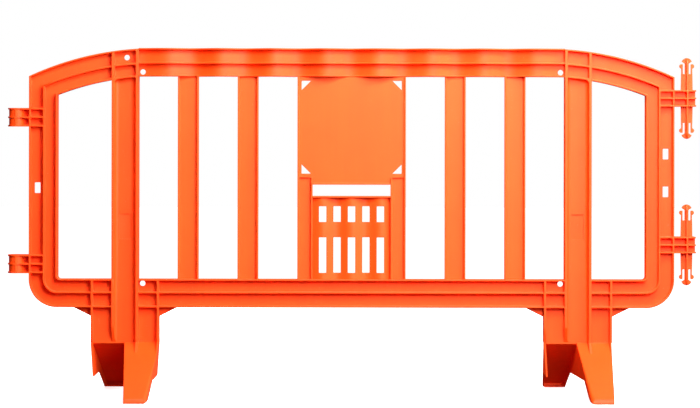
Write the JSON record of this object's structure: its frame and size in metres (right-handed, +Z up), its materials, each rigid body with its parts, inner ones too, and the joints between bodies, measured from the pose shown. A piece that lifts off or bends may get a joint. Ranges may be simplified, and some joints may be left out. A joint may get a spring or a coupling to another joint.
{
  "type": "pedestrian barrier panel",
  "caption": "Arched plastic pedestrian barrier with ribbed frame, slats, sign plate, hand hole, splayed feet, end loops and snap-finger link pins.",
  "frame": {"origin": "on the ground, midway between the ends and between the front and rear soles", "axes": "+X along the panel towards the link pins, +Z up, the front faces -Y"},
  "size_m": [2, 0.52, 1.008],
  "materials": {
    "frame": "satin moulded",
    "infill": "satin moulded",
    "finger": "satin moulded"
  },
  "bodies": {
    "panel": {"left_stile": "frame", "right_stile": "frame", "top_rail_left": "frame", "top_rail_centre": "frame", "top_rail_right": "frame", "bottom_rail_left": "frame", "bottom_rail_centre": "frame", "bottom_rail_right": "frame", "left_post": "frame", "right_post": "frame", "left_leg": "frame", "right_leg": "frame", "left_front_foot": "frame", "left_rear_foot": "frame", "right_front_foot": "frame", "right_rear_foot": "frame", "left_outer_gusset": "frame", "left_inner_gusset": "frame", "right_inner_gusset": "frame", "right_outer_gusset": "frame", "upper_loop": "frame", "lower_loop": "frame", "upper_bracket": "frame", "lower_bracket": "frame", "upper_pin_top": "frame", "upper_pin_bottom": "frame", "lower_pin_top": "frame", "lower_pin_bottom": "frame", "slat_1": "infill", "slat_2": "infill", "slat_3": "infill", "slat_4": "infill", "sign_plate": "infill", "left_mullion": "infill", "right_mullion": "infill", "grille": "infill"},
    "upper_top_inner_finger": {"upper_top_inner_finger": "finger"},
    "upper_top_outer_finger": {"upper_top_outer_finger": "finger"},
    "upper_bottom_inner_finger": {"upper_bottom_inner_finger": "finger"},
    "upper_bottom_outer_finger": {"upper_bottom_outer_finger": "finger"},
    "lower_top_inner_finger": {"lower_top_inner_finger": "finger"},
    "lower_top_outer_finger": {"lower_top_outer_finger": "finger"},
    "lower_bottom_inner_finger": {"lower_bottom_inner_finger": "finger"},
    "lower_bottom_outer_finger": {"lower_bottom_outer_finger": "finger"}
  },
  "joints": [
    {"name": "upper_top_inner_flex", "type": "hinge", "parent": "panel", "child": "upper_top_inner_finger", "pos_m": [0.9611, 0, 0.9363], "axis": [0, 1, 0], "range_deg": [0, 8], "stiffness_Nm_per_rad": 4},
    {"name": "upper_top_outer_flex", "type": "hinge", "parent": "panel", "child": "upper_top_outer_finger", "pos_m": [0.9889, 0, 0.9363], "axis": [0, -1, 0], "range_deg": [0, 8], "stiffness_Nm_per_rad": 4},
    {"name": "upper_bottom_inner_flex", "type": "hinge", "parent": "panel", "child": "upper_bottom_inner_finger", "pos_m": [0.9611, 0, 0.7927], "axis": [0, -1, 0], "range_deg": [0, 8], "stiffness_Nm_per_rad": 4},
    {"name": "upper_bottom_outer_flex", "type": "hinge", "parent": "panel", "child": "upper_bottom_outer_finger", "pos_m": [0.9889, 0, 0.7927], "axis": [0, 1, 0], "range_deg": [0, 8], "stiffness_Nm_per_rad": 4},
    {"name": "lower_top_inner_flex", "type": "hinge", "parent": "panel", "child": "lower_top_inner_finger", "pos_m": [0.9611, 0, 0.5103], "axis": [0, 1, 0], "range_deg": [0, 8], "stiffness_Nm_per_rad": 4},
    {"name": "lower_top_outer_flex", "type": "hinge", "parent": "panel", "child": "lower_top_outer_finger", "pos_m": [0.9889, 0, 0.5103], "axis": [0, -1, 0], "range_deg": [0, 8], "stiffness_Nm_per_rad": 4},
    {"name": "lower_bottom_inner_flex", "type": "hinge", "parent": "panel", "child": "lower_bottom_inner_finger", "pos_m": [0.9611, 0, 0.3667], "axis": [0, -1, 0], "range_deg": [0, 8], "stiffness_Nm_per_rad": 4},
    {"name": "lower_bottom_outer_flex", "type": "hinge", "parent": "panel", "child": "lower_bottom_outer_finger", "pos_m": [0.9889, 0, 0.3667], "axis": [0, 1, 0], "range_deg": [0, 8], "stiffness_Nm_per_rad": 4}
  ]
}
